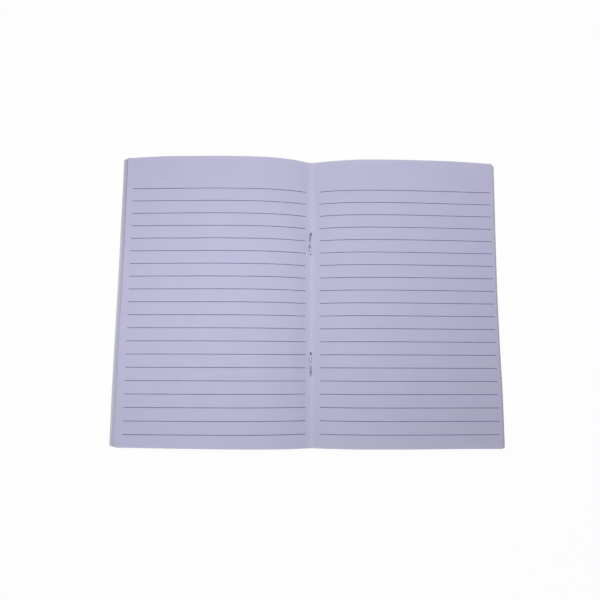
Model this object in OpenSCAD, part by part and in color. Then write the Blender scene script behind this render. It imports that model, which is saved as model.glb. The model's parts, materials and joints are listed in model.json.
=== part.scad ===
// Stitched composition notebook, lying open at its centre spread.
// X runs across the spread, Y runs up the page and Z stands up from the table.
// The origin is on the table, under the fold, halfway up the page.

/* [Sheets] */
// Width of the left half, from the fold to the edge of the cover
left_w = 122.4; // [100:0.1:150]
// Width of the right half, a little less because the fold is off the middle
right_w = 120.4; // [100:0.1:150]
// Height of the page
page_h = 181; // [150:1:240]
// Radius of the outer corners
corner_r = 2.5; // [1:0.25:6]
// Number of folded sheets in the section
sheet_count = 24; // [12:1:40]
// Thickness of one sheet
sheet_t = 0.09; // [0.07:0.01:0.12]
// Thickness of the cover card
cover_t = 0.3; // [0.2:0.05:0.6]

/* [Open spread] */
// Distance by which the left top leaf stops short of the cover
left_creep = 4.5; // [1:0.1:6]
// Distance by which the right top leaf stops short of the cover
right_creep = 3.8; // [1:0.1:6]
// Height of the left page's crest above the fold
left_crest_h = 7.3; // [4:0.1:10]
// Height of the right page's crest above the fold
right_crest_h = 6.5; // [4:0.1:10]
// Distance of the crests from the fold
crest_x = 51.5; // [40:0.5:70]
// Half the width of the rounded valley at the fold
valley_w = 4; // [2:0.5:8]
// Height of the top leaf's free edge above the fold
edge_h = 3.5; // [2:0.1:4]
// Width of the strip of cover that bends over the stitches
spine_rise_w = 14; // [8:0.5:24]

/* [Ruling] */
// Distance between two ruled lines
line_pitch = 8; // [6:0.5:9]
// Distance of the first line from the head of the page
head_margin = 20.6; // [10:0.1:26]
// Least distance of the last line from the foot of the page
tail_margin = 8; // [4:0.5:20]
// Width of a ruled line
line_w = 0.35; // [0.2:0.05:0.8]
// Height of the ink above the paper
ink_t = 0.05; // [0.03:0.01:0.1]
// Distance of the left page's lines from the fold
left_inner_margin = 3.4; // [2:0.1:6]
// Distance of the right page's lines from the fold
right_inner_margin = 5.4; // [2:0.1:7]
// Distance of the left page's lines from its free edge
left_outer_margin = 5; // [1:0.1:15]
// Distance of the right page's lines from its free edge
right_outer_margin = 1.7; // [1:0.1:15]

/* [Stitches] */
// Diameter of the wire
wire_d = 0.6; // [0.4:0.05:0.9]
// Length of a stitch, between the centres of its legs
stitch_len = 13; // [8:0.1:18]
// Height of the upper stitch above the middle of the page
upper_stitch_y = 36.2; // [20:0.1:60]
// Distance of the lower stitch below the middle of the page
lower_stitch_y = 39.7; // [20:0.1:60]
// Gap between the two clinched tips
tip_gap = 1.2; // [0.4:0.1:4]
// Slope of a clinched leg where it leaves its hole
clinch_slope = 15; // [5:1:25]
// Lean of the upper stitch's clinched legs towards the left page
upper_lean = 10; // [0:1:15]
// Lean of the lower stitch's clinched legs towards the left page
lower_lean = 3; // [0:1:15]
// Inside radius of the wire's bends
bend_r = 0.1; // [0.05:0.05:0.2]

/* [Fits] */
// Clearance between the wire and the paper round it
fit = 0.05; // [0.02:0.01:0.1]

/* [Hidden] */
$fn = 48;

// Colours
paper_colour = [0.74, 0.73, 0.85];
ink_colour = [0.56, 0.55, 0.67];
card_colour = [0.80, 0.79, 0.84];
wire_colour = [0.62, 0.62, 0.64];

// Heights of the fold: cover over the crown of the stitch, then the folded sheets
cover_lift = wire_d + fit;
fold_z = cover_lift + cover_t + sheet_count * sheet_t;
tall = fold_z + max(left_crest_h, right_crest_h) + 10;

// Sizes of a half: its width, the width of its top leaf and the height of its crest
left_half = [left_w, left_w - left_creep, left_crest_h];
right_half = [right_w, right_w - right_creep, right_crest_h];
function cover_edge(half) = half[0];
function page_edge(half) = half[1];
function crest_h(half) = half[2];
function leaf_edge(half, share) = cover_edge(half) + (page_edge(half) - cover_edge(half)) * share;

// Page curve: a rounded valley, a rising stretch to the crest, then a fall that starts gently
rise_power = 3;
fall_ease = 0.25;
valley_slope = rise_power / crest_x * pow(1 - valley_w / crest_x, rise_power - 1);
valley_rise = valley_slope * valley_w / 2;
crest_rise = valley_rise + pow(1 - valley_w / crest_x, rise_power);
function rise(x) =
    x < valley_w
        ? valley_rise * pow(x / valley_w, 2)
        : crest_rise - pow(1 - x / crest_x, rise_power);
function fall(s) = s * s * (1 + fall_ease) / (s + fall_ease);
function page_curve(x, half) =
    x < crest_x
        ? crest_h(half) * rise(x) / crest_rise
        : crest_h(half) - (crest_h(half) - edge_h) * fall((x - crest_x) / (page_edge(half) - crest_x));

// Cover: lifted at the spine by the crown of the stitch, flat on the table beyond
rise_steps = 8;
function lift(s) = cover_lift * (1 - s * s * (3 - 2 * s));
function spine_line(z) =
    [for (i = [0 : rise_steps]) [spine_rise_w * i / rise_steps, lift(i / rise_steps) + z]];

// Leaves: a bundle of them makes one step of the fore-edge
leaves_per_step = 2;
step_count = max(3, round(sheet_count / leaves_per_step));
curve_steps = 30;
curve_crowding = 1.5;
function reversed(list) = [for (i = [len(list) - 1 : -1 : 0]) list[i]];
function curve_line(from, to, half) =
    [for (i = [0 : curve_steps])
        let (x = from + (to - from) * pow(i / curve_steps, curve_crowding))
        [x, fold_z + page_curve(x, half)]];

// The stretch of a line between two places, raised by z
function stretch(line, from, to, z) = concat(
    [[from, lookup(from, line) + z]],
    [for (p = line) if (p[0] > from && p[0] < to) [p[0], p[1] + z]],
    [[to, lookup(to, line) + z]]
);

// Ruling: as many lines as the page holds between its margins
line_count = floor((page_h - head_margin - tail_margin) / line_pitch) + 1;

// Stitches: each has its place along the fold and the lean of its clinched legs
stitches = [[upper_stitch_y, upper_lean], [-lower_stitch_y, lower_lean]];
wire_r = wire_d / 2;
turn_r = wire_r + bend_r;
leg_y = -stitch_len / 2;
turn_steps = 6;
bow_steps = 12;
wire_sides = 12;

// The clinched legs lie in the valley of the open fold, and climb the left page where they lean
function leg_reach(lean) = (stitch_len - tip_gap) / 2 / cos(lean);
function climb(lean) = atan(page_curve(leg_reach(lean) * sin(lean), left_half) / leg_reach(lean));
function bow_from(lean) = turn_r * (1 - sin(clinch_slope + climb(lean)));
function leg_top_z(lean) = fold_z + max(0, wire_r + fit - turn_r * cos(clinch_slope + climb(lean)));
function bow_r(lean) = (leg_reach(lean) - bow_from(lean)) / cos(climb(lean)) / 2 / sin(clinch_slope);

// Stands a profile, drawn with X across and Y up, along the page
module along_page(length) {
    rotate([90, 0, 0]) linear_extrude(length, center = true) children();
}

// Outline of a leaf seen from above, with its two free corners rounded
module leaf_outline(reach) {
    square_part = reach - corner_r;
    translate([0, -page_h / 2]) square([square_part, page_h]);
    translate([0, corner_r - page_h / 2]) square([reach, page_h - 2 * corner_r]);
    for (side = [-1, 1])
        translate([square_part, side * (page_h / 2 - corner_r)]) circle(corner_r);
}

// Holes of the four legs, which stand in the fold
module leg_holes() {
    for (stitch = stitches, side = [-1, 1])
        translate([0, stitch[0] + side * leg_y, -1]) cylinder(h = tall, r = wire_r + fit);
}

// Room that the clinched wires need when the left half turns over them
module clinch_relief() {
    for (stitch = stitches)
        translate([0, stitch[0], fold_z])
            rotate([90, 0, 0])
                cylinder(h = stitch_len + wire_d + 2 * fit, r = clinch_reach(stitch[1]) + fit, center = true);
}

// One leaf of the cover
module cover_leaf(half) {
    reach = cover_edge(half);
    difference() {
        intersection() {
            along_page(page_h) polygon(concat(
                spine_line(0), [[reach, 0], [reach, cover_t]], reversed(spine_line(cover_t))
            ));
            translate([0, 0, -1]) linear_extrude(tall) leaf_outline(reach);
        }
        leg_holes();
    }
}

// Leaves of one half up to a share of the height, out to their own free edge
module bundle(half, share) {
    reach = leaf_edge(half, share);
    inner_x = share == 1 ? 0 : crest_x;
    upper = curve_line(inner_x, reach, half);
    lower = inner_x == 0 ? spine_line(cover_t) : [[inner_x, cover_t]];
    shared = [for (p = upper) [p[0], cover_t + (p[1] - cover_t) * share]];
    intersection() {
        along_page(page_h) polygon(concat(lower, [[reach, cover_t]], reversed(shared)));
        translate([0, 0, -1]) linear_extrude(tall) leaf_outline(reach);
    }
}

// All leaves of one half, with the stepped fore-edge that the folded sheets leave
module page_block(half) {
    difference() {
        for (i = [1 : step_count]) bundle(half, i / step_count);
        leg_holes();
    }
}

// Ruled lines of one page, laid on its curve
module ruled_lines(half, inner_margin, outer_margin) {
    top_leaf = curve_line(0, page_edge(half), half);
    lower = stretch(top_leaf, inner_margin, page_edge(half) - outer_margin, 0);
    upper = stretch(top_leaf, inner_margin, page_edge(half) - outer_margin, ink_t);
    for (i = [0 : line_count - 1])
        translate([0, page_h / 2 - head_margin - i * line_pitch, 0])
            along_page(line_w) polygon(concat(lower, reversed(upper)));
}

// Points along an arc in a leg's plane, run clockwise: each has its Y before the lean, its Z,
// its heading and the lean of that plane
function arc_path(centre, radius, from, to, steps, lean, first = 0) =
    [for (i = [first : steps])
        let (a = from + (to - from) * i / steps)
        [centre[0] + radius * cos(a), centre[1] + radius * sin(a), a - 90, lean]];

// The clinched part of a leg: a turn over the paper and a bow down to the tip
function clinch_path(lean) =
    let (
        y = leg_y + bow_from(lean),
        z = leg_top_z(lean) + turn_r * cos(clinch_slope + climb(lean)),
        r = bow_r(lean),
        over = 90 + climb(lean)
    )
    concat(
        arc_path([leg_y + turn_r, leg_top_z(lean)], turn_r, 180, over + clinch_slope, turn_steps, lean),
        arc_path(
            [y - r * cos(over + clinch_slope), z - r * sin(over + clinch_slope)],
            r, over + clinch_slope, over - clinch_slope, bow_steps, lean, first = 1
        )
    );

// How far the clinched wire reaches from the line of the fold
function clinch_reach(lean) = wire_r + max([
    for (p = clinch_path(lean)) norm([(p[0] - leg_y) * sin(lean), p[1] - fold_z])
]);

// A stitch, from the tip on its +Y side, down, along the crown and up to the tip on its -Y side
function half_path(lean) = concat(
    [[0, wire_r, 180, 0]],
    arc_path([leg_y + turn_r, wire_r + turn_r], turn_r, 270, 180, turn_steps, 0),
    clinch_path(lean)
);
function mirrored(p) = [-p[0], p[1], -p[2], -p[3]];
function stitch_path(lean) = concat(
    [for (p = reversed(half_path(lean))) if (p[0] != 0) mirrored(p)],
    half_path(lean)
);

// A point of the ring round a path point, turned about the leg's axis by the lean
function ring_point(p, a) =
    let (
        axis_y = sign(p[3]) * leg_y,
        out = wire_r * sin(a + abs(p[3])),
        across = wire_r * cos(a + abs(p[3])),
        along = p[0] - axis_y - out * sin(p[2])
    )
    [
        across * cos(p[3]) - along * sin(p[3]),
        axis_y + across * sin(p[3]) + along * cos(p[3]),
        p[1] + out * cos(p[2])
    ];

// One wire stitch: a round section swept along its path
module staple(stitch) {
    path = stitch_path(stitch[1]);
    last = (len(path) - 1) * wire_sides;
    color(wire_colour) translate([0, stitch[0], 0]) polyhedron(
        points = [for (p = path, i = [0 : wire_sides - 1]) ring_point(p, 360 * i / wire_sides)],
        faces = concat(
            [[for (i = [wire_sides - 1 : -1 : 0]) i]],
            [[for (i = [0 : wire_sides - 1]) last + i]],
            [for (first = [0 : wire_sides : last - wire_sides], i = [0 : wire_sides - 1])
                let (next = (i + 1) % wire_sides)
                [first + i, first + next, first + wire_sides + next, first + wire_sides + i]]
        )
    );
}

module front_cover() {
    color(card_colour) mirror([1, 0, 0]) cover_leaf(left_half);
}

module back_cover() {
    color(card_colour) cover_leaf(right_half);
}

module left_pages() {
    color(paper_colour) difference() {
        mirror([1, 0, 0]) page_block(left_half);
        clinch_relief();
    }
}

module right_pages() {
    color(paper_colour) page_block(right_half);
}

module left_ruling() {
    color(ink_colour) mirror([1, 0, 0])
        ruled_lines(left_half, left_inner_margin, left_outer_margin);
}

module right_ruling() {
    color(ink_colour) ruled_lines(right_half, right_inner_margin, right_outer_margin);
}

module upper_staple() {
    staple(stitches[0]);
}

module lower_staple() {
    staple(stitches[1]);
}

front_cover();
back_cover();
left_pages();
right_pages();
left_ruling();
right_ruling();
upper_staple();
lower_staple();
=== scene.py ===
"""An open composition notebook: folded sheets and a soft card cover, held by two wire stitches.

The notebook lies open at its centre spread. X runs across the spread, Y up the page and Z up from
the table, in metres, with the fold over X = 0. Side -1 is the left half and side 1 the right half.
In the functions of one half, x is the distance from the fold, to either side.
"""
import json
import math

import bpy
import numpy as np
from mathutils import Matrix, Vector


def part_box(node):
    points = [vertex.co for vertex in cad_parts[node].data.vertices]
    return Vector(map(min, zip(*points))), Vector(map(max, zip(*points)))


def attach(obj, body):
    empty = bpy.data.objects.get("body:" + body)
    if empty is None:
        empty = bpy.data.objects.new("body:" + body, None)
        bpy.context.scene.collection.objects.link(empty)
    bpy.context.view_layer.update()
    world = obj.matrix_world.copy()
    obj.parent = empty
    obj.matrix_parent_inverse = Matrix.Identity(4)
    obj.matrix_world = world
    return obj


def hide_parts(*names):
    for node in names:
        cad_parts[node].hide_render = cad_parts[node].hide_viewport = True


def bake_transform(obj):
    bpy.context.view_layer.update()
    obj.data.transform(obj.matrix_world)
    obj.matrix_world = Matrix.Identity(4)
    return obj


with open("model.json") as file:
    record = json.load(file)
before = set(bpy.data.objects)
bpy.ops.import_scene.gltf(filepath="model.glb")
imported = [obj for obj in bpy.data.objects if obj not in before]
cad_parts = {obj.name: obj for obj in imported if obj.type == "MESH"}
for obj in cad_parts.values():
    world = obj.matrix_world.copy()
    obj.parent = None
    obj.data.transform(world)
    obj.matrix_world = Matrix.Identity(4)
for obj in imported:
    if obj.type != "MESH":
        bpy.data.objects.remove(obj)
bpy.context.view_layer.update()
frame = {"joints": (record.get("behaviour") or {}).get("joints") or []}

MM = 0.001
SIDES = (-1, 1)
STITCHES = ("upper_staple", "lower_staple")

# Sizes read from the frame
FOLD_Z = frame["joints"][0]["pos_m"][2]
HALF_PAGE_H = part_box("right_pages")[1][1]
COVER_W = {-1: -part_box("front_cover")[0][0], 1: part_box("back_cover")[1][0]}
CREST_H = {-1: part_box("left_pages")[1][2] - FOLD_Z, 1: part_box("right_pages")[1][2] - FOLD_Z}
LINES_X = {
    -1: (-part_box("left_ruling")[1][0], -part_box("left_ruling")[0][0]),
    1: (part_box("right_ruling")[0][0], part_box("right_ruling")[1][0]),
}
STITCH_Y = {name: (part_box(name)[0][1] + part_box(name)[1][1]) / 2 for name in STITCHES}

# Sheets, numbered from the cover up. The pitch of the folded sheets leaves a little air between.
SHEET_COUNT = 24
TOP_SHEET = SHEET_COUNT - 1
SHEET_PITCH = 0.09 * MM
PAPER_T = 0.08 * MM
# How far the top leaf of each half stops short of the cover
CREEP = {-1: 4.5 * MM, 1: 3.8 * MM}
TOP_EDGE_X = {side: COVER_W[side] - CREEP[side] for side in SIDES}
# The air between the leaves at the fore-edge: the lower the skew, the fewer and wider the gaps,
# and the least air keeps every gap from closing
AIR_SEED = {-1: 3, 1: 8}
AIR_SKEW = 0.3
LEAST_AIR = 0.01

# Cover: its lift over the table at the spine, where the stitch's crown lies under it
COVER_T = 0.3 * MM
COVER_LIFT = FOLD_Z - SHEET_COUNT * SHEET_PITCH - COVER_T
SPINE_RISE_W = 14 * MM

# Curve of the open page: where its crest is, half the width of the rounded valley at the fold, and
# the height of the free edge above the fold
CREST_X = 51.5 * MM
VALLEY_W = 4 * MM
EDGE_H = 3.5 * MM
RISE_POWER = 3
FALL_EASE = 0.25

# Radii of the outer corners, by side and by end: 1 is the head and -1 the foot
CORNER_R = {(-1, 1): 0.7 * MM, (-1, -1): 1.2 * MM, (1, 1): 1.0 * MM, (1, -1): 0.8 * MM}

# The knife's path round the block, in millimetres off the square outline. Along the fore-edge it
# goes by the share of half the page's height, for the cover and for the top leaf.
TRIM_UP = [-1, -0.63, -0.3, 0.05, 0.33, 1]
TRIM_COVER = {-1: [0.1, 0.0, -0.3, -0.75, -1.0, -1.3], 1: [-0.1, 0.0, -0.6, -0.8, -0.6, 0.2]}
TRIM_TOP = {-1: [-0.4, -0.6, -0.3, -0.9, -1.2, -1.2], 1: [0.15, 0.3, -0.35, -0.6, -0.45, 0.25]}
# Along the head and foot it goes by millimetres across the spread
TRIM_X = [-120, -117, -115.5, -94, -57, -26, -12, -4, 0, 6, 15, 31, 87, 99, 106, 114]
TRIM_HEAD = [
    0.0, 0.0, -0.35, 0.6, 0.55, 0.4, 0.1, -0.45,
    -0.7, -0.65, -0.65, -0.35, -0.25, -0.55, -0.8, -1.1,
]
TRIM_FOOT = [
    0.6, 0.75, 0.75, 0.55, 0.25, 0.0, -0.2, -0.2,
    -0.2, -0.15, -0.1, -0.1, 0.0, 0.0, -0.1, -0.1,
]
# How far inside an edge the knife's path still shows in the grid
TRIM_FADE = 15 * MM
# How far up the page the cover's outer corners lie from the top leaf's, in millimetres
SKEW = {(-1, 1): 1.2, (-1, -1): 0.15, (1, 1): 1.2, (1, -1): -0.5}

# Ruling: the ink stands a little over the paper and reaches a little into it
LINE_PITCH = 8 * MM
LINE_COUNT = 20
HEAD_MARGIN = 20.6 * MM
LINE_W = 0.35 * MM
INK_UP = 0.02 * MM
INK_T = 0.03 * MM
LINE_STEPS = 60

# Stitches: the legs stand LEG_Y above and below the stitch's middle, and FIT is the clearance
# between wire and paper
WIRE_R = 0.3 * MM
TURN_R = 0.4 * MM
FIT = 0.05 * MM
LEG_Y = 6.5 * MM
TIP_GAP = 1.2 * MM
CLINCH_SLOPE = math.radians(15)
LEAN = {"upper_staple": math.radians(10), "lower_staple": math.radians(3)}
WIRE_SIDES = 20
CROWN_STEPS = 8
TURN_STEPS = 9
CLINCH_STEPS = 24
# The rings that round the cut end: distance past the tip, and share of the wire's radius
BURR_AHEAD = np.array([0.05, 0.09]) * MM
BURR_SHARE = (0.9, 0.6)
# Patches of painted shade and dark reflection on the wire: millimetres down from the stitch's head
# end, half width and amount
PAINTED_WIRE_DARKS = {
    "upper_staple": ((0.9, 1.1, 1.0), (4.0, 2.4, 0.65), (8.7, 1.2, 0.8), (11.0, 1.0, 0.3)),
    "lower_staple": (
        (0.5, 0.9, 1.0), (3.1, 0.4, 0.4), (5.2, 0.6, 0.35), (9.0, 1.5, 0.7), (11.9, 0.9, 0.95),
    ),
}

# Holes of the legs, as half sizes. They have worn wide in the upper leaves only.
HOLE_W = 0.38 * MM
HOLE_L = 0.6 * MM
HOLE_OUT = 0.25 * MM
PIERCED_FROM = 12
HOLES_Y = np.array([y + way * (LEG_Y + HOLE_OUT) for y in STITCH_Y.values() for way in SIDES])
# How far the corners of the square holes are drawn in, as a share of their distance out
HOLE_ROUNDING = 0.72
# Places nearer to each other than this, in metres, are the same
SAME_PLACE = 1e-6

# Grid of a leaf: its columns near the fold, on the plain stretch and towards the free edge
FOLD_COLUMNS = np.array([0, 0.38, 0.6, 0.85, 1.15, 1.5, 2.0, 2.5, 3.0, 3.6, 4.2, 5.0, 6.0]) * MM
PLAIN_COLUMNS = 32
EDGE_COLUMNS = 8
EDGE_ZONE = 3.0 * MM
# Its rows all the way up, inside the head and foot, along a stitch and at a hole
PLAIN_ROWS = 19
END_ROWS = np.array([0.5, 1.2, 2.4]) * MM
STITCH_ROWS = np.arange(-5.7, 5.8, 0.6) * MM
HOLE_ROWS = np.array([-2.2, -1, 0, 1, 2.2]) * HOLE_L
# The other rows keep this far from the middle of a hole, on a fine grid and on a plain one
CLEAR_FINE, CLEAR_PLAIN = 1.8 * MM, 2.5 * MM

# Rims of the leaves: amount at the fore-edge, how far in it reaches, and amount at head and foot.
# Their grey stands for yellowed edges; their being lighter than the paper is painted light that
# lifts the shade between the fanned leaves.
TOP_RIM = (0.3, 0.25 * MM, 0.45)
LOWER_RIM = (0.85, 2.5 * MM, 0.85)
END_RIM_W = 1.1 * MM
RIM_RIGHT, RIM_LEFT, RIM_LEFT_LOW = "#D3D1DC", "#CCCADF", "#E3E1EF"
# The leaves nearest the cover have the palest rims on the left, up to this share of the sheets:
# painted light that lifts the shade the leaves above cast on them
LOW_LEAVES = 0.25
# Painted shade on the left rims, beside the top leaf's edge: it comes in between two shares of the
# sheets, and of half the page height
PAINTED_GAP_SHADE = "#85829E"
GAP_SHADE_LEAVES = (0.7, 0.85)
GAP_SHADE_UP = (-0.9, 0.7)
GAP_SHADE_MOST = 0.9
# The painted highlight beside the fold, where the valley's bank faces the lamp
PAINTED_FOLD_HIGHLIGHT = "#D8D6F0"
FOLD_HIGHLIGHT_X, FOLD_HIGHLIGHT_W, FOLD_HIGHLIGHT_MOST = 0.6 * MM, 1.4 * MM, 0.2
# The painted contact shade beside the clinched wires: it comes in over the fade length, starting
# beyond the leg
PAINTED_WIRE_SHADE = "#5C5A76"
WIRE_SHADE_MOST = {"upper_staple": 0.4, "lower_staple": 0.5}
WIRE_SHADE_W = 0.6 * MM
WIRE_SHADE_START = -1.2 * MM
WIRE_SHADE_FADE = 1 * MM

# Light: the glow of the room and two soft lamps, each with its place and power in watts
ROOM_GLOW = 0.41
LAMP_RADIUS = 0.06
LAMPS = {
    "left_lamp": ((-0.095, -0.001, 0.221), 0.843),
    "right_lamp": ((0.089, 0.099, 0.244), 0.691),
}
# The floor's white share for the lens, at these distances from the origin, and its half size
FLOOR_WHITE = (0.96, 1.0)
FLOOR_REACH = (0.2, 0.9)
FLOOR_HALF = 3.0

# The photograph's camera, found by fitting the ruled lines and the outline. The fit took the fold
# as the sharp foot of the two rising pages, which lies a little under the rounded valley.
VALLEY_DEPTH = 0.95 * MM
CAMERA_PLACE = np.array([-15.4, -42.4, 342.4]) * MM + np.array([0, 0, FOLD_Z - VALLEY_DEPTH])
CAMERA_PITCH, CAMERA_YAW, CAMERA_ROLL = (math.radians(a) for a in (-7.103, -1.435, 0.181))
CAMERA_LENS = 32.87


# Surfaces


def smooth(share):
    """The smooth step from 0 to 1: three times the square less twice the cube."""
    return share * share * (3 - 2 * share)


def ramp(value, start, end):
    """0 up to the start, 1 from the end on, and an even climb between them."""
    return np.clip((value - start) / (end - start), 0, 1)


def rise(x):
    """Share of the climb to the crest: a parabola in the rounded valley, then an easing cubic."""
    slope = RISE_POWER / CREST_X * (1 - VALLEY_W / CREST_X) ** (RISE_POWER - 1)
    valley = slope * VALLEY_W / 2
    full = valley + (1 - VALLEY_W / CREST_X) ** RISE_POWER
    bowl = valley * (x / VALLEY_W) ** 2
    bank = full - np.clip(1 - x / CREST_X, 0, 1) ** RISE_POWER
    return np.where(x < VALLEY_W, bowl, bank) / full


def fall(share):
    """Share of the drop from crest to free edge: the square over the share plus an ease.

    The ease makes it start gently at the crest, and a factor brings it to 1 at the edge.
    """
    return share * share * (1 + FALL_EASE) / (share + FALL_EASE)


def page_curve(x, side):
    """Height of the top leaf above the fold: the climb to the crest, then the fall to the edge."""
    past = np.clip((x - CREST_X) / (TOP_EDGE_X[side] - CREST_X), 0, None)
    return CREST_H[side] * rise(x) - (CREST_H[side] - EDGE_H) * fall(past)


def cover_base(x):
    """Height of the cover's underside: lifted at the spine, down by a smooth step, then flat."""
    return COVER_LIFT * (1 - smooth(np.clip(x / SPINE_RISE_W, 0, 1)))


def leaf_height(x, side, share):
    """Upper face of a leaf: a share of the way from the cover's top to the top leaf's curve."""
    card = cover_base(x) + COVER_T
    return card + (FOLD_Z + page_curve(x, side) - card) * share


def across(reach):
    """Places across one half of a sheet, close together at the fold and at the free edge.

    Over the last stretch they go by the sine of even angles, as points round a corner do.
    """
    turn = np.linspace(0, math.pi / 2, EDGE_COLUMNS)[1:]
    return np.concatenate([
        FOLD_COLUMNS,
        np.linspace(FOLD_COLUMNS[-1], reach - EDGE_ZONE, PLAIN_COLUMNS)[1:],
        reach - EDGE_ZONE + EDGE_ZONE * np.sin(turn),
    ])


def up_the_page(fine):
    """Places up the page as shares of half its height, close together at both ends and the holes.

    Fine ones also run along the stitches, where the wire has marked the paper.
    """
    parts = [np.linspace(-1, 1, PLAIN_ROWS) * HALF_PAGE_H]
    parts += [way * (HALF_PAGE_H - END_ROWS) for way in SIDES]
    if fine:
        parts += [y + STITCH_ROWS for y in STITCH_Y.values()]
    even = np.concatenate(parts)
    clear = CLEAR_FINE if fine else CLEAR_PLAIN
    far = np.abs(even[:, None] - HOLES_Y).min(1) > clear
    close = np.concatenate([middle + HOLE_ROWS for middle in HOLES_Y])
    # Rounding makes one row of two that differ only in their last digits
    return np.unique(np.concatenate([even[far], close]).round(7)) / HALF_PAGE_H


def corner_inset(x, reach, radius):
    """How far the outline draws in from the head or foot at x, along an arc in the rounded corner.

    It is the radius less the root of the radius squared less the square of the distance past the
    corner's start.
    """
    past = np.clip(x - (reach - radius), 0, radius)
    return radius - np.sqrt(radius ** 2 - past ** 2)


def half_leaf(side, reach, share, fine=False):
    """Grids of x, y and distance from the cut fore-edge for one half of a leaf.

    The square outline with its rounded corners is drawn out or in along the knife's path, by an
    amount that fades to nothing inside each edge. The share is 0 for the cover and 1 for the top
    leaf, and the leaves between them lie evenly between those two outlines.
    """
    x = across(reach)
    rows = up_the_page(fine)
    insets = {way: corner_inset(x, reach, CORNER_R[side, way])[:, None] for way in SIDES}
    y = rows * HALF_PAGE_H - np.clip(rows, 0, 1) * insets[1] + np.clip(-rows, 0, 1) * insets[-1]
    cover = np.interp(rows, TRIM_UP, TRIM_COVER[side])
    fore = cover + (np.interp(rows, TRIM_UP, TRIM_TOP[side]) - cover) * share
    x = x[:, None] + MM * fore * np.clip((x[:, None] - reach) / TRIM_FADE + 1, 0, 1)
    near = np.clip((np.abs(y) - HALF_PAGE_H) / TRIM_FADE + 1, 0, 1)
    head = np.interp(side * x / MM, TRIM_X, TRIM_HEAD)
    foot = np.interp(side * x / MM, TRIM_X, TRIM_FOOT)
    skew = np.where(y > 0, SKEW[side, 1], SKEW[side, -1]) * (1 - share) * (x / reach) ** 2
    y = y + MM * (np.where(y > 0, head, foot) + skew) * near
    return x, y, x[-1] - x


def spread_out(halves):
    """The grids of both halves as one, from the left edge over the fold to the right edge.

    The row at the fold is the same in both, so it is taken once.
    """
    return tuple(np.concatenate([left[::-1], right[1:]]) for left, right in zip(*halves))


def punched(x, y):
    """Which grid cells the wire holes take: those whose middle lies within a hole's half sizes."""
    mid_x = (x[:-1, :-1] + x[1:, 1:]) / 2
    mid_y = (y[:-1, :-1] + y[1:, 1:]) / 2
    hole = np.zeros(mid_x.shape, bool)
    for middle in HOLES_Y:
        hole |= (np.abs(mid_x) < HOLE_W) & (np.abs(mid_y - middle) < HOLE_L)
    return hole


def rounded_holes(x, y):
    """Draws the corner points of the square wire holes in towards the holes' middles."""
    for middle in HOLES_Y:
        on_side = np.abs(np.abs(x) - HOLE_W) < SAME_PLACE
        on_end = np.abs(np.abs(y - middle) - HOLE_L) < SAME_PLACE
        x = np.where(on_side & on_end, x * HOLE_ROUNDING, x)
        y = np.where(on_side & on_end, middle + (y - middle) * HOLE_ROUNDING, y)
    return x, y


# Meshes


def slab(x, y, z_up, z_low, hole=None):
    """Points and quads of a closed slab between two grids of heights over the same x and y.

    A wall stands along each cell side with nothing beyond it, at the rim and round the holes. The
    third result says which grid point, upper ones first, each kept point came from.
    """
    rows, cols = x.shape
    points = np.concatenate([
        np.stack([x, y, z_up], -1).reshape(-1, 3),
        np.stack([x, y, z_low], -1).reshape(-1, 3),
    ])
    index = np.arange(rows * cols).reshape(rows, cols)
    cells = np.stack([index[:-1, :-1], index[1:, :-1], index[1:, 1:], index[:-1, 1:]], -1)
    kept = np.ones((rows - 1, cols - 1), bool) if hole is None else ~hole
    beyond = np.pad(kept, 1)
    neighbours = (beyond[1:-1, :-2], beyond[2:, 1:-1], beyond[1:-1, 2:], beyond[:-2, 1:-1])
    low = rows * cols
    upper = cells[kept]
    faces = [upper, upper[:, ::-1] + low]
    for corner, neighbour in enumerate(neighbours):
        bare = kept & ~neighbour
        start = cells[..., corner][bare]
        end = cells[..., (corner + 1) % 4][bare]
        faces.append(np.stack([start, start + low, end + low, end], -1))
    used, faces = np.unique(np.concatenate(faces), return_inverse=True)
    return points[used], faces.reshape(-1, 4), used


def new_piece(name, points, faces, material, sharp=40):
    """A mesh object at the origin, smooth but for edges sharper than the given angle."""
    mesh = bpy.data.meshes.new(name)
    mesh.from_pydata(points.tolist(), [], faces)
    mesh.validate()
    mesh.shade_smooth()
    mesh.set_sharp_from_angle(angle=math.radians(sharp))
    mesh.materials.append(material)
    piece = bpy.data.objects.new(name, mesh)
    bpy.context.scene.collection.objects.link(piece)
    return piece


def lay_flat(piece, name, flat):
    """Gives a piece a UV map of that name, from the place of each of its points, in metres."""
    mesh = piece.data
    corner = np.empty(len(mesh.loops), dtype=np.int32)
    mesh.loops.foreach_get("vertex_index", corner)
    mesh.uv_layers.new(name=name).data.foreach_set("uv", flat[corner].ravel())


# Materials


def linear(code):
    """An sRGB hex code as linear red, green, blue and alpha."""
    value = np.array([int(code[i:i + 2], 16) for i in (1, 3, 5)]) / 255
    value = np.where(value <= 0.04045, value / 12.92, ((value + 0.055) / 1.055) ** 2.4)
    return (*value, 1.0)


def add(tree, kind, inputs=None, **settings):
    """A node with its settings, and each input given as a value or as the socket that feeds it."""
    node = tree.nodes.new(kind)
    for key, value in settings.items():
        setattr(node, key, value)
    for key, value in (inputs or {}).items():
        if isinstance(value, bpy.types.NodeSocket):
            tree.links.new(value, node.inputs[key])
        else:
            node.inputs[key].default_value = value
    return node


def blank_material(name):
    """A new material and its empty node tree."""
    material = bpy.data.materials.new(name)
    material.use_nodes = True
    material.node_tree.nodes.clear()
    return material, material.node_tree


# Sockets of the Mix node in its colour mode
MIX_A, MIX_B, MIX_OUT = 6, 7, 2


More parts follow.
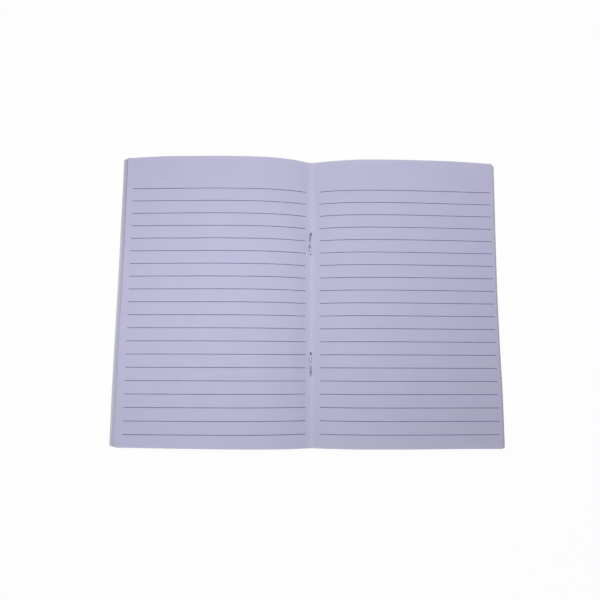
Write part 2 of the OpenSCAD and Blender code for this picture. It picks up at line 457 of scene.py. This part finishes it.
def lavender_paper():
    """Uncoated writing paper, dyed lavender: matt and faintly clouded, with a fine felt of fibres.

    Its trimmed edges have yellowed, which turns the lavender to a neutral grey there. An attribute
    also paints light and shade on the leaves: rims lighter than the paper, shade beside the top
    leaf's edge, a highlight beside the fold and shade along the wires.
    """
    material, tree = blank_material("lavender_writing_paper")
    plan = add(tree, "ShaderNodeUVMap", uv_map="plan").outputs["UV"]
    # The fibres settle in clouds about 14 mm across
    cloud = add(tree, "ShaderNodeTexNoise", {"Vector": plan, "Scale": 1 / (14 * MM), "Detail": 3.0})
    # Real fibres are about 0.05 mm wide, too fine to show, so the felt is drawn at 0.6 mm
    felt = add(tree, "ShaderNodeTexNoise", {"Vector": plan, "Scale": 1 / (0.6 * MM), "Detail": 3.0})
    clouded = add(tree, "ShaderNodeMix", {
        0: cloud.outputs["Fac"], MIX_A: linear("#BFBDDA"), MIX_B: linear("#C5C3DF"),
    }, data_type="RGBA")
    fine = add(tree, "ShaderNodeMapRange", {
        "Value": felt.outputs["Fac"], "From Min": 0.3, "From Max": 0.7, "To Min": 0.0, "To Max": 0.16,
    })
    felted = add(tree, "ShaderNodeMix", {
        0: fine.outputs["Result"], MIX_A: clouded.outputs[MIX_OUT], MIX_B: linear("#A9A7C4"),
    }, data_type="RGBA")
    # Yellowed rims painted lighter than the paper, painted shade beside the top leaf and along the
    # wires, and the painted highlight by the fold
    rim_and_light_layer = add(tree, "ShaderNodeAttribute", attribute_name="edge_colour")
    tone = add(tree, "ShaderNodeMix", {
        0: rim_and_light_layer.outputs["Alpha"], MIX_A: felted.outputs[MIX_OUT], MIX_B: rim_and_light_layer.outputs["Color"],
    }, data_type="RGBA")
    bump = add(tree, "ShaderNodeBump", {
        "Height": felt.outputs["Fac"], "Strength": 0.15, "Distance": 0.03 * MM,
    })
    shader = add(tree, "ShaderNodeBsdfPrincipled", {
        "Base Color": tone.outputs[MIX_OUT], "Roughness": 0.9, "IOR": 1.45,
        "Specular IOR Level": 0.2, "Normal": bump.outputs["Normal"],
    })
    add(tree, "ShaderNodeOutputMaterial", {"Surface": shader.outputs["BSDF"]})
    return material


def ruling_ink():
    """Offset printing ink, soaked into the paper: matt, thin and slightly uneven."""
    material, tree = blank_material("grey_violet_printing_ink")
    place = add(tree, "ShaderNodeTexCoord").outputs["Object"]
    # The ink runs fuller and thinner over some 9 mm
    flow = add(tree, "ShaderNodeTexNoise", {"Vector": place, "Scale": 1 / (9 * MM), "Detail": 3.0})
    tone = add(tree, "ShaderNodeMix", {
        0: flow.outputs["Fac"], MIX_A: linear("#4C4673"), MIX_B: linear("#6A6292"),
    }, data_type="RGBA")
    shader = add(tree, "ShaderNodeBsdfPrincipled", {
        "Base Color": tone.outputs[MIX_OUT], "Roughness": 0.85, "Specular IOR Level": 0.2,
    })
    add(tree, "ShaderNodeOutputMaterial", {"Surface": shader.outputs["BSDF"]})
    return material


def cover_card():
    """Uncoated cover card: matt pale grey, with a slightly coarser felt than the paper."""
    material, tree = blank_material("uncoated_cover_card")
    plan = add(tree, "ShaderNodeUVMap", uv_map="plan").outputs["UV"]
    # The real felt is about 0.1 mm wide, too fine to show, so it is drawn at 0.9 mm
    felt = add(tree, "ShaderNodeTexNoise", {"Vector": plan, "Scale": 1 / (0.9 * MM), "Detail": 5.0})
    tone = add(tree, "ShaderNodeMix", {
        0: felt.outputs["Fac"], MIX_A: linear("#ABA9B4"), MIX_B: linear("#B7B5BF"),
    }, data_type="RGBA")
    bump = add(tree, "ShaderNodeBump", {
        "Height": felt.outputs["Fac"], "Strength": 0.2, "Distance": 0.06 * MM,
    })
    shader = add(tree, "ShaderNodeBsdfPrincipled", {
        "Base Color": tone.outputs[MIX_OUT], "Roughness": 0.8, "Specular IOR Level": 0.3,
        "Normal": bump.outputs["Normal"],
    })
    add(tree, "ShaderNodeOutputMaterial", {"Surface": shader.outputs["BSDF"]})
    return material


def stitching_wire():
    """Drawn steel wire with fine die marks along it. Its violet tint is a painted reflection of the
    lavender paper, and patches of painted shade and dark reflection darken it.
    """
    material, tree = blank_material("drawn_steel_wire")
    along = add(tree, "ShaderNodeUVMap", uv_map="along").outputs["UV"]
    # A die mark is some 3 mm long and 0.02 mm wide, and is drawn twice as wide
    stretched = add(tree, "ShaderNodeMapping", {
        "Vector": along, "Scale": (1 / (3 * MM), 1 / (0.04 * MM), 1.0),
    })
    marks = add(tree, "ShaderNodeTexNoise", {
        "Vector": stretched.outputs["Vector"], "Scale": 1.0, "Detail": 2.0,
    })
    rough = add(tree, "ShaderNodeMapRange", {
        "Value": marks.outputs["Fac"], "To Min": 0.3, "To Max": 0.5,
    })
    # Painted shade and dark reflection in patches; the violet tint of both colours is a painted
    # reflection of the paper
    wire_darks = add(tree, "ShaderNodeAttribute", attribute_name="tarnish")
    tone = add(tree, "ShaderNodeMix", {
        0: wire_darks.outputs["Fac"], MIX_A: linear("#CCC9E2"), MIX_B: linear("#383460"),
    }, data_type="RGBA")
    shader = add(tree, "ShaderNodeBsdfPrincipled", {
        "Base Color": tone.outputs[MIX_OUT], "Metallic": 1.0, "Roughness": rough.outputs["Result"],
    })
    add(tree, "ShaderNodeOutputMaterial", {"Surface": shader.outputs["BSDF"]})
    return material


# Sheets and cover


def leaf_shares(side):
    """Heights of the sheets at the fore-edge, from the cover up, as shares of the top one's height.

    Each lies at least a sheet's thickness over the last, and the rest of the height is air, which
    a skewed random draw leaves in a few wide gaps, so that the leaves lie in bunches.
    """
    air = np.random.default_rng(AIR_SEED[side]).gamma(AIR_SKEW, 1.0, SHEET_COUNT) + LEAST_AIR
    paper = SHEET_PITCH / (FOLD_Z + EDGE_H - COVER_T)
    return np.cumsum(paper + air / air.sum() * (1 - SHEET_COUNT * paper))


def painted_wire_shade_at(x, y):
    """Amount of the painted contact shade that the clinched wires cast on the top leaf.

    It is a bell curve across the wire's line, cut off at the legs and in the gap between the tips.
    """
    contact_shade = np.zeros_like(x)
    for name, middle in STITCH_Y.items():
        from_leg = LEG_Y - np.abs(y - middle)
        from_tip = LEG_Y - TIP_GAP / 2 - from_leg
        line = -np.clip(from_leg, 0, None) * math.tan(LEAN[name])
        ends = ramp(from_leg, WIRE_SHADE_START, WIRE_SHADE_START + WIRE_SHADE_FADE) * ramp(from_tip, 0, WIRE_SHADE_FADE)
        contact_shade += WIRE_SHADE_MOST[name] * np.exp(-((x - line) / WIRE_SHADE_W) ** 2) * ends
    return contact_shade


def laid_over(tint, code, amount):
    """A tint with another colour laid over it, covering its share of what lies below.

    The colours mix by their amounts, and a tiny least amount keeps the division from zero.
    """
    below = tint[..., 3] * (1 - amount)
    whole = np.maximum(below + amount, 1e-6)
    colour = tint[..., :3] * below[..., None] + np.array(linear(code)[:3]) * amount[..., None]
    return np.concatenate([colour / whole[..., None], whole[..., None]], -1)


def leaf_colour_and_painted_light(side, number, share, x, y, inside):
    """Colour and amount of a leaf's rim, which is wide on all leaves but the top one.

    The rim's grey stands for yellowed edges, and it is painted lighter than the paper to lift the
    shade between the leaves. The amount decays exponentially inwards from each cut edge, and the
    greater of the two counts. On the left, painted shade darkens the leaves just under the top one,
    where the top leaf's edge shades them, more of it towards the head. The top leaf also has a
    painted highlight beside the fold, a bell curve across it, and painted shade along the wires.
    """
    top = number == TOP_SHEET
    fore, fore_w, ends = TOP_RIM if top else LOWER_RIM
    past = np.minimum(y.max(1, keepdims=True) - y, y - y.min(1, keepdims=True))
    amount = np.maximum(fore * np.exp(-inside / fore_w), ends * np.exp(-past / END_RIM_W))
    left = RIM_LEFT_LOW if share < LOW_LEAVES else RIM_LEFT
    tint = laid_over(np.zeros(x.shape + (4,)), left if side < 0 else RIM_RIGHT, amount)
    if top:
        # Painted highlight beside the fold
        fold_highlight = FOLD_HIGHLIGHT_MOST * np.exp(-((side * x - FOLD_HIGHLIGHT_X) / FOLD_HIGHLIGHT_W) ** 2)
        tint = laid_over(tint, PAINTED_FOLD_HIGHLIGHT, fold_highlight)
        # Painted shade along the clinched wires
        tint = laid_over(tint, PAINTED_WIRE_SHADE, painted_wire_shade_at(side * x, y))
    elif side < 0:
        # Painted shade on the leaves just under the top leaf's edge, where it shades them
        gap_shade = GAP_SHADE_MOST * ramp(share, *GAP_SHADE_LEAVES) * ramp(y / HALF_PAGE_H, *GAP_SHADE_UP)
        tint[..., :3] += (np.array(linear(PAINTED_GAP_SHADE)[:3]) - tint[..., :3]) * gap_shade[..., None]
    return tint


def make_sheets(material):
    """The folded sheets, each one slab from its left edge over the fold to its right edge.

    A leaf's share of the height goes by a smooth step, from its place in the stack at the fold to
    its place in the fan of leaves at the crest and beyond.
    """
    fans = {side: leaf_shares(side) for side in SIDES}
    sheets = []
    for number in range(SHEET_COUNT):
        at_fold = (number + 1) / SHEET_COUNT
        halves = []
        for side in SIDES:
            reach = COVER_W[side] - CREEP[side] * at_fold
            x, y, inside = half_leaf(side, reach, at_fold, number == TOP_SHEET)
            share = at_fold + (fans[side][number] - at_fold) * smooth(np.clip(x / CREST_X, 0, 1))
            tint = leaf_colour_and_painted_light(side, number, at_fold, x, y, inside)
            halves.append((side * x, y, leaf_height(x, side, share), tint))
        x, y, z, tint = spread_out(halves)
        hole = punched(x, y) if number >= PIERCED_FROM else None
        x, y = rounded_holes(x, y)
        points, faces, used = slab(x, y, z, z - PAPER_T, hole)
        sheet = new_piece(f"sheet_{number + 1:02d}", points, faces.tolist(), material)
        lay_flat(sheet, "plan", points[:, :2])
        # The rims' tone with its painted light, and the painted shade and highlight, kept on the
        # points
        layer = sheet.data.attributes.new("edge_colour", "FLOAT_COLOR", "POINT")
        layer.data.foreach_set("color", np.tile(tint.reshape(-1, 4), (2, 1))[used].ravel())
        sheets.append(sheet)
    return sheets


def make_cover(material):
    """The folded card, one slab that follows the cover's base over both halves."""
    halves = []
    for side in SIDES:
        x, y = half_leaf(side, COVER_W[side], 0)[:2]
        halves.append((side * x, y, cover_base(x)))
    x, y, z = spread_out(halves)
    points, faces = slab(x, y, z + COVER_T, z)[:2]
    cover = new_piece("folded_cover", points, faces.tolist(), material)
    lay_flat(cover, "plan", points[:, :2])
    return cover


def make_ruling(side, material):
    """The printed lines of one page, each a thin strip on the top leaf's curve."""
    x = np.linspace(*LINES_X[side], LINE_STEPS)
    z = FOLD_Z + page_curve(x, side) + INK_UP
    if side < 0:
        x, z = -x[::-1], z[::-1]
    grid_x = np.repeat(x[:, None], 2, 1)
    grid_z = np.repeat(z[:, None], 2, 1)
    all_points = []
    all_faces = []
    for line in range(LINE_COUNT):
        middle = HALF_PAGE_H - HEAD_MARGIN - line * LINE_PITCH
        grid_y = np.repeat(np.array([[middle - LINE_W / 2, middle + LINE_W / 2]]), LINE_STEPS, 0)
        points, faces = slab(grid_x, grid_y, grid_z, grid_z - INK_T)[:2]
        all_points.append(points)
        all_faces.append(faces + line * len(points))
    points = np.concatenate(all_points)
    faces = np.concatenate(all_faces).tolist()
    return new_piece("ruling_left" if side < 0 else "ruling_right", points, faces, material)


# Stitches


def arc(centre, radius, start, end, count):
    """Distance in from the leg, height and heading along an arc that runs clockwise.

    A point lies at the radius and the angle from the centre: the cosine gives its distance in, the
    sine its height. Its heading is the angle less a right angle.
    """
    angle = np.linspace(start, end, count)
    return np.column_stack([
        centre[0] + radius * np.cos(angle), centre[1] + radius * np.sin(angle), angle - math.pi / 2,
    ])


def half_stitch(lean):
    """Half a stitch from the crown's middle: out to the leg, up it, over and down to the tip.

    The crown is straight. A quarter turn leads up into the leg, and a shorter turn over the paper
    leads to one long bow down to the tip, which climbs by the page's slope along the leaning wire.
    Each point has its distance in from the leg, its height, its heading and its lean.
    """
    reach = (2 * LEG_Y - TIP_GAP) / 2 / math.cos(lean)
    climb = math.atan(page_curve(np.array(reach * math.sin(lean)), -1) / reach)
    steep = CLINCH_SLOPE + climb
    start = TURN_R * (1 - math.sin(steep))
    leg_top = FOLD_Z + max(0, WIRE_R + FIT - TURN_R * math.cos(steep))
    bow_r = (reach - start) / math.cos(climb) / 2 / math.sin(CLINCH_SLOPE)
    over = math.pi / 2 + climb
    first = over + CLINCH_SLOPE
    last = over - CLINCH_SLOPE
    bow_x = start - bow_r * math.cos(first)
    bow_z = leg_top + TURN_R * math.cos(steep) - bow_r * math.sin(first)
    out = np.linspace(LEG_Y, TURN_R, CROWN_STEPS)[:-1]
    crown = np.column_stack([out, np.full(len(out), WIRE_R), np.full(len(out), math.pi)])
    foot = arc((TURN_R, WIRE_R + TURN_R), TURN_R, 1.5 * math.pi, math.pi, TURN_STEPS)
    head = arc((TURN_R, leg_top), TURN_R, math.pi, first, TURN_STEPS)
    clinch = arc((bow_x, bow_z), bow_r, first, last, CLINCH_STEPS)[1:]
    path = np.concatenate([crown, foot, head, clinch])
    leaning = np.arange(len(path)) >= len(crown) + len(foot)
    return np.column_stack([path, np.where(leaning, lean, 0)])


def half_wire(lean, way):
    """Rings of points round half a stitch, and the length of wire up to each ring.

    A ring's point lies the radius times a cosine aside from the path and the radius times a sine
    square to its heading, and is then turned about the leg by the lean. Way -1 is the leg nearer
    the foot of the page, whose clinched part runs up the page, and 1 the other, mirrored. The end
    is drawn in by two smaller rings, as a cut wire's burr is rounded.
    """
    path = half_stitch(lean)
    cut = path[[-1, -1]].copy()
    cut[:, 0] += BURR_AHEAD * np.cos(cut[:, 2])
    cut[:, 1] += BURR_AHEAD * np.sin(cut[:, 2])
    radius = np.concatenate([np.full(len(path), WIRE_R), WIRE_R * np.array(BURR_SHARE)])
    inward, z, heading, leans = np.concatenate([path, cut]).T
    turn = np.linspace(0, 2 * math.pi, WIRE_SIDES, endpoint=False)
    aside = radius[:, None] * np.cos(turn)
    upright = radius[:, None] * np.sin(turn)
    along = inward[:, None] - upright * np.sin(heading)[:, None]
    lean_cos = np.cos(leans)[:, None]
    lean_sin = np.sin(leans)[:, None]
    x = aside * lean_cos - along * lean_sin
    y = -way * along * lean_cos - way * aside * lean_sin + way * LEG_Y
    height = z[:, None] + upright * np.cos(heading)[:, None]
    length = np.concatenate([[0], np.cumsum(np.hypot(np.diff(inward), np.diff(z)))])
    return np.stack([x, y, height], -1), length


def make_stitch(name, material):
    """A round wire carried along the stitch, from one tip down, along the crown and up to the other.

    Its painted shade and dark reflection is the sum of bell curves down the page, one for each patch.
    """
    head, head_length = half_wire(LEAN[name], 1)
    foot, foot_length = half_wire(LEAN[name], -1)
    rings = np.concatenate([head[:0:-1], foot])
    rings[..., 1] += STITCH_Y[name]
    index = np.arange(len(rings) * WIRE_SIDES).reshape(len(rings), WIRE_SIDES)
    beside = np.roll(index, -1, 1)
    walls = np.stack([index[:-1], index[1:], beside[1:], beside[:-1]], -1).reshape(-1, 4)
    faces = walls.tolist() + [index[0].tolist(), index[-1, ::-1].tolist()]
    points = rings.reshape(-1, 3)
    stitch = new_piece(name.replace("staple", "stitch"), points, faces, material, sharp=60)
    length = np.concatenate([-head_length[:0:-1], foot_length])
    girth = np.linspace(0, 2 * math.pi * WIRE_R, WIRE_SIDES, endpoint=False)
    flat = np.stack(np.broadcast_arrays(length[:, None], girth), -1)
    lay_flat(stitch, "along", flat.reshape(-1, 2))
    down = (STITCH_Y[name] + LEG_Y + WIRE_R - points[:, 1]) / MM
    wire_darks = sum(amount * np.exp(-((down - at) / width) ** 2) for at, width, amount in PAINTED_WIRE_DARKS[name])
    layer = stitch.data.attributes.new("tarnish", "FLOAT", "POINT")
    layer.data.foreach_set("value", np.clip(wire_darks, 0, 1))
    return stitch


# The notebook


def bends_at_fold(piece):
    """Bakes the piece's placement into its points, leaving it at the origin."""
    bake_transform(piece)


paper = lavender_paper()
ink = ruling_ink()
card = cover_card()
wire = stitching_wire()

cover = make_cover(card)
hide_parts("front_cover", "back_cover")
bends_at_fold(cover)

for sheet in make_sheets(paper):
    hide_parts("left_pages", "right_pages")
    bends_at_fold(sheet)

for side, body, node in ((-1, "left_half", "left_ruling"), (1, "right_half", "right_ruling")):
    ruling = make_ruling(side, ink)
    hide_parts(node)
    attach(ruling, body)

for name in STITCHES:
    stitch = make_stitch(name, wire)
    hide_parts(name)
    bends_at_fold(stitch)


# Floor, light and camera


def white_to_lens(tree, share):
    """A socket that is the given share for rays from the lens, a mirror or a glass, and else 0."""
    path = add(tree, "ShaderNodeLightPath")
    seen = add(tree, "ShaderNodeMath", {
        0: path.outputs["Is Camera Ray"], 1: path.outputs["Is Glossy Ray"],
    }, operation="MAXIMUM")
    through = add(tree, "ShaderNodeMath", {
        0: seen.outputs[0], 1: path.outputs["Is Transmission Ray"],
    }, operation="MAXIMUM")
    shared = add(tree, "ShaderNodeMath", {0: through.outputs[0], 1: share}, operation="MULTIPLY")
    return shared.outputs[0]


def make_floor():
    """A plain white table that looks white to the camera and keeps a faint shadow."""
    material, tree = blank_material("white_table")
    matt = add(tree, "ShaderNodeBsdfDiffuse", {"Color": (0.9, 0.9, 0.9, 1)})
    white = add(tree, "ShaderNodeEmission", {"Color": (1, 1, 1, 1), "Strength": 1.0})
    place = add(tree, "ShaderNodeTexCoord").outputs["Object"]
    away = add(tree, "ShaderNodeVectorMath", {0: place}, operation="LENGTH").outputs["Value"]
    share = add(tree, "ShaderNodeMapRange", {
        "Value": away, "From Min": FLOOR_REACH[0], "From Max": FLOOR_REACH[1],
        "To Min": FLOOR_WHITE[0], "To Max": FLOOR_WHITE[1],
    }, interpolation_type="SMOOTHSTEP").outputs["Result"]
    both = add(tree, "ShaderNodeMixShader", {
        0: white_to_lens(tree, share), 1: matt.outputs[0], 2: white.outputs[0],
    })
    add(tree, "ShaderNodeOutputMaterial", {"Surface": both.outputs[0]})
    mesh = bpy.data.meshes.new("table_top")
    corners = [(-1, -1), (1, -1), (1, 1), (-1, 1)]
    mesh.from_pydata([(x * FLOOR_HALF, y * FLOOR_HALF, 0) for x, y in corners], [], [(0, 1, 2, 3)])
    mesh.materials.append(material)
    table = bpy.data.objects.new("table_top", mesh)
    bpy.context.scene.collection.objects.link(table)


def make_world():
    """A room that lights the table evenly from all round and looks white to the camera."""
    world = bpy.data.worlds.new("soft_room")
    bpy.context.scene.world = world
    world.use_nodes = True
    tree = world.node_tree
    tree.nodes.clear()
    glow = add(tree, "ShaderNodeBackground", {"Color": (1, 1, 1, 1), "Strength": ROOM_GLOW})
    white = add(tree, "ShaderNodeBackground", {"Color": (1, 1, 1, 1), "Strength": 1.0})
    both = add(tree, "ShaderNodeMixShader", {
        0: white_to_lens(tree, 1.0), 1: glow.outputs[0], 2: white.outputs[0],
    })
    add(tree, "ShaderNodeOutputWorld", {"Surface": both.outputs[0]})


def make_lamp(name, place, power):
    """A soft round light that the camera doesn't see."""
    lamp = bpy.data.lights.new(name, "POINT")
    lamp.shadow_soft_size = LAMP_RADIUS
    lamp.energy = power
    holder = bpy.data.objects.new(name, lamp)
    bpy.context.scene.collection.objects.link(holder)
    holder.location = place
    holder.visible_camera = False


def make_camera():
    """The photograph's camera, turned by roll, pitch and yaw from looking straight down."""
    data = bpy.data.cameras.new("photo_camera")
    data.sensor_width = 36
    data.lens = CAMERA_LENS
    data.clip_start = 0.01
    camera = bpy.data.objects.new("photo_camera", data)
    bpy.context.scene.collection.objects.link(camera)
    turn = (
        Matrix.Rotation(CAMERA_ROLL, 3, "Z") @ Matrix.Rotation(CAMERA_PITCH, 3, "X")
        @ Matrix.Rotation(CAMERA_YAW, 3, "Y") @ Matrix.Diagonal((1, -1, -1))
    )
    axes = Matrix([turn[0], -turn[1], -turn[2]]).transposed()
    camera.matrix_world = Matrix.Translation(CAMERA_PLACE) @ axes.to_4x4()
    bpy.context.scene.camera = camera


make_floor()
make_world()
for name, (place, power) in LAMPS.items():
    make_lamp(name, place, power)
make_camera()
bpy.context.scene.view_settings.view_transform = "Standard"
